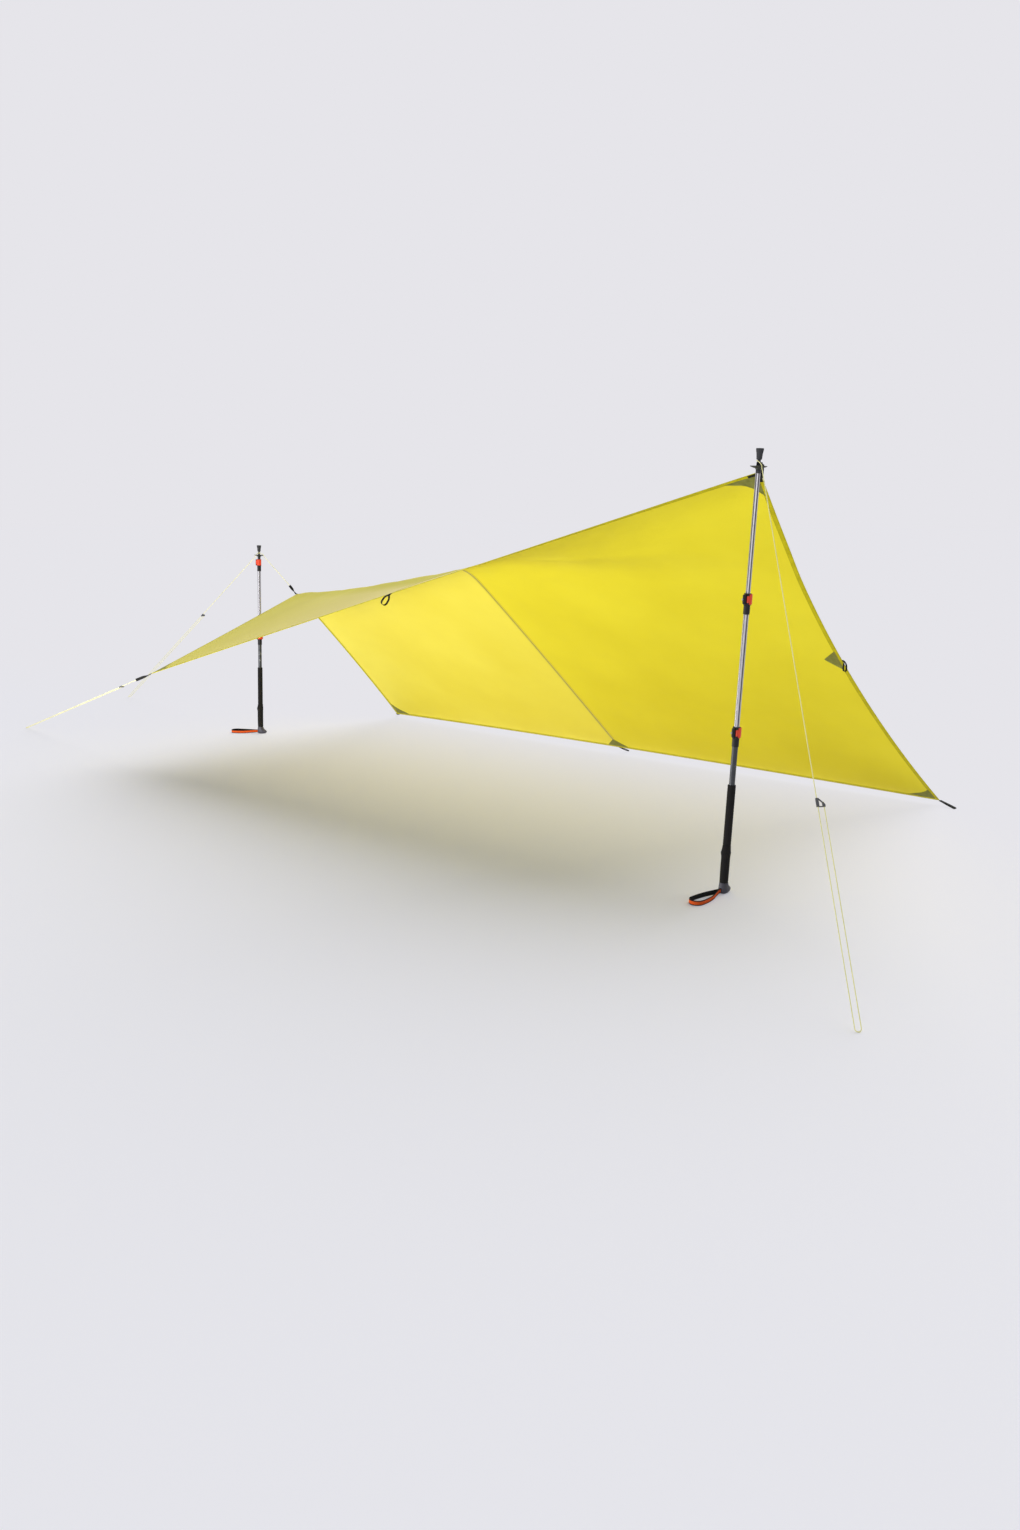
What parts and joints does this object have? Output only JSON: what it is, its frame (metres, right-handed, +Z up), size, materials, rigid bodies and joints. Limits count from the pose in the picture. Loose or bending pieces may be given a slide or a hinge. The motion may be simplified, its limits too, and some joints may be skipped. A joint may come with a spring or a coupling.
{
  "type": "camping tarp pitched on trekking poles",
  "caption": "Rectangular coated-fabric tarp pitched as a lean-to shelter on telescoping trekking poles, with lever clamps, guylines and sliding line tensioners.",
  "frame": {"origin": "on the floor, under the middle of the pitched tarp and its poles", "axes": "+X along the back edge towards the near pole, +Y from the open front to the back edge, +Z up"},
  "size_m": [5.554, 2.2633, 1.3483],
  "materials": {
    "coated_nylon_left": "satin coated nylon",
    "coated_nylon_right": "satin coated nylon",
    "seam_tape": "satin tape",
    "patch_nylon": "matt woven nylon",
    "black_webbing": "matt woven webbing",
    "anodised_aluminium": "satin anodised",
    "grey_anodised_aluminium": "dark anodised with light specks",
    "black_nylon_clamp": "fine grained",
    "orange_lever": "smooth",
    "steel": "turned",
    "tip_plastic": "smooth",
    "basket_plastic": "smooth",
    "tip_rubber": "matt",
    "grip_foam": "matt closed-cell foam",
    "head_plastic": "fine grained",
    "strap_webbing": "woven",
    "pale_cord": "braided",
    "tensioner_plastic": "smooth"
  },
  "bodies": {
    "tarp": {"left_panel": "coated_nylon_left", "right_panel": "coated_nylon_right", "seam_tape": "seam_tape", "near_peak_patch": "patch_nylon", "right_corner_patch": "patch_nylon", "back_corner_patch": "patch_nylon", "free_corner_patch": "patch_nylon", "right_edge_patch": "patch_nylon", "back_edge_patch": "patch_nylon", "near_peak_webbing": "black_webbing", "free_corner_webbing": "black_webbing", "lifted_edge_webbing": "black_webbing", "right_corner_loop": "black_webbing", "back_corner_loop": "black_webbing", "back_edge_loop": "black_webbing", "right_edge_loop": "black_webbing", "front_edge_loop": "black_webbing", "near_guyline": "pale_cord", "far_guyline": "pale_cord", "corner_guyline": "pale_cord", "link_line": "pale_cord", "near_lower_shaft": "anodised_aluminium", "near_tip": "tip_plastic", "near_basket": "basket_plastic", "far_lower_shaft": "anodised_aluminium", "far_tip": "tip_plastic", "far_basket": "basket_plastic"},
    "near_middle": {"near_middle_shaft": "anodised_aluminium", "near_lower_clamp": "black_nylon_clamp", "near_lower_screw": "steel", "near_lower_pin": "steel"},
    "near_upper": {"near_upper_shaft": "grey_anodised_aluminium", "near_upper_clamp": "black_nylon_clamp", "near_upper_screw": "steel", "near_upper_pin": "steel", "near_foam_sleeve": "grip_foam", "near_grip": "grip_foam", "near_grip_head": "head_plastic", "near_wrist_strap": "strap_webbing"},
    "near_upper_lever": {"near_upper_lever": "orange_lever"},
    "near_lower_lever": {"near_lower_lever": "orange_lever"},
    "near_tip_cap": {"near_tip_cap": "tip_rubber"},
    "far_middle": {"far_middle_shaft": "anodised_aluminium", "far_lower_clamp": "black_nylon_clamp", "far_lower_screw": "steel", "far_lower_pin": "steel"},
    "far_upper": {"far_upper_shaft": "grey_anodised_aluminium", "far_upper_clamp": "black_nylon_clamp", "far_upper_screw": "steel", "far_upper_pin": "steel", "far_foam_sleeve": "grip_foam", "far_grip": "grip_foam", "far_grip_head": "head_plastic", "far_wrist_strap": "strap_webbing"},
    "far_upper_lever": {"far_upper_lever": "orange_lever"},
    "far_lower_lever": {"far_lower_lever": "orange_lever"},
    "far_tip_cap": {"far_tip_cap": "tip_rubber"},
    "near_tensioner": {"near_tensioner": "tensioner_plastic"},
    "far_tensioner": {"far_tensioner": "tensioner_plastic"},
    "corner_tensioner": {"corner_tensioner": "tensioner_plastic"}
  },
  "joints": [
    {"name": "near_lower_telescope", "type": "slide", "parent": "tarp", "child": "near_middle", "axis": [0.0408, 0.0053, 0.9992], "range_m": [0, 0.33]},
    {"name": "near_upper_telescope", "type": "slide", "parent": "near_middle", "child": "near_upper", "axis": [0.0408, 0.0053, 0.9992], "range_m": [0, 0.33]},
    {"name": "near_upper_lever_hinge", "type": "hinge", "parent": "near_upper", "child": "near_upper_lever", "pos_m": [1.59871, -0.73003, 0.5163], "axis": [-0.0408, -0.0053, -0.9992], "range_deg": [0, 95]},
    {"name": "near_lower_lever_hinge", "type": "hinge", "parent": "near_middle", "child": "near_lower_lever", "pos_m": [1.61454, -0.72707, 0.91797], "axis": [-0.0408, -0.0053, -0.9992], "range_deg": [0, 95]},
    {"name": "near_cap_slide", "type": "slide", "parent": "tarp", "child": "near_tip_cap", "axis": [0.0408, 0.0053, 0.9992], "range_m": [0, 0.05]},
    {"name": "far_lower_telescope", "type": "slide", "parent": "tarp", "child": "far_middle", "axis": [-0.0067, 0.0528, 0.9986], "range_m": [-0.36, 0]},
    {"name": "far_upper_telescope", "type": "slide", "parent": "far_middle", "child": "far_upper", "axis": [-0.0067, 0.0528, 0.9986], "range_m": [0, 0.31]},
    {"name": "far_upper_lever_hinge", "type": "hinge", "parent": "far_upper", "child": "far_upper_lever", "pos_m": [-1.64401, 0.01074, 0.51703], "axis": [0.0067, -0.0528, -0.9986], "range_deg": [0, 95]},
    {"name": "far_lower_lever_hinge", "type": "hinge", "parent": "far_middle", "child": "far_lower_lever", "pos_m": [-1.65443, 0.03486, 0.89923], "axis": [0.0067, -0.0528, -0.9986], "range_deg": [0, 95]},
    {"name": "far_cap_slide", "type": "slide", "parent": "tarp", "child": "far_tip_cap", "axis": [-0.0067, 0.0528, 0.9986], "range_m": [0, 0.05]},
    {"name": "near_tensioner_slide", "type": "slide", "parent": "tarp", "child": "near_tensioner", "axis": [0.412, -0.4153, -0.811], "range_m": [0, 0.22]},
    {"name": "far_tensioner_slide", "type": "slide", "parent": "tarp", "child": "far_tensioner", "axis": [-0.8567, 0.0877, -0.5083], "range_m": [0, 0.22]},
    {"name": "corner_tensioner_slide", "type": "slide", "parent": "tarp", "child": "corner_tensioner", "axis": [-0.9524, 0.0698, -0.2967], "range_m": [0, 0.22]}
  ]
}
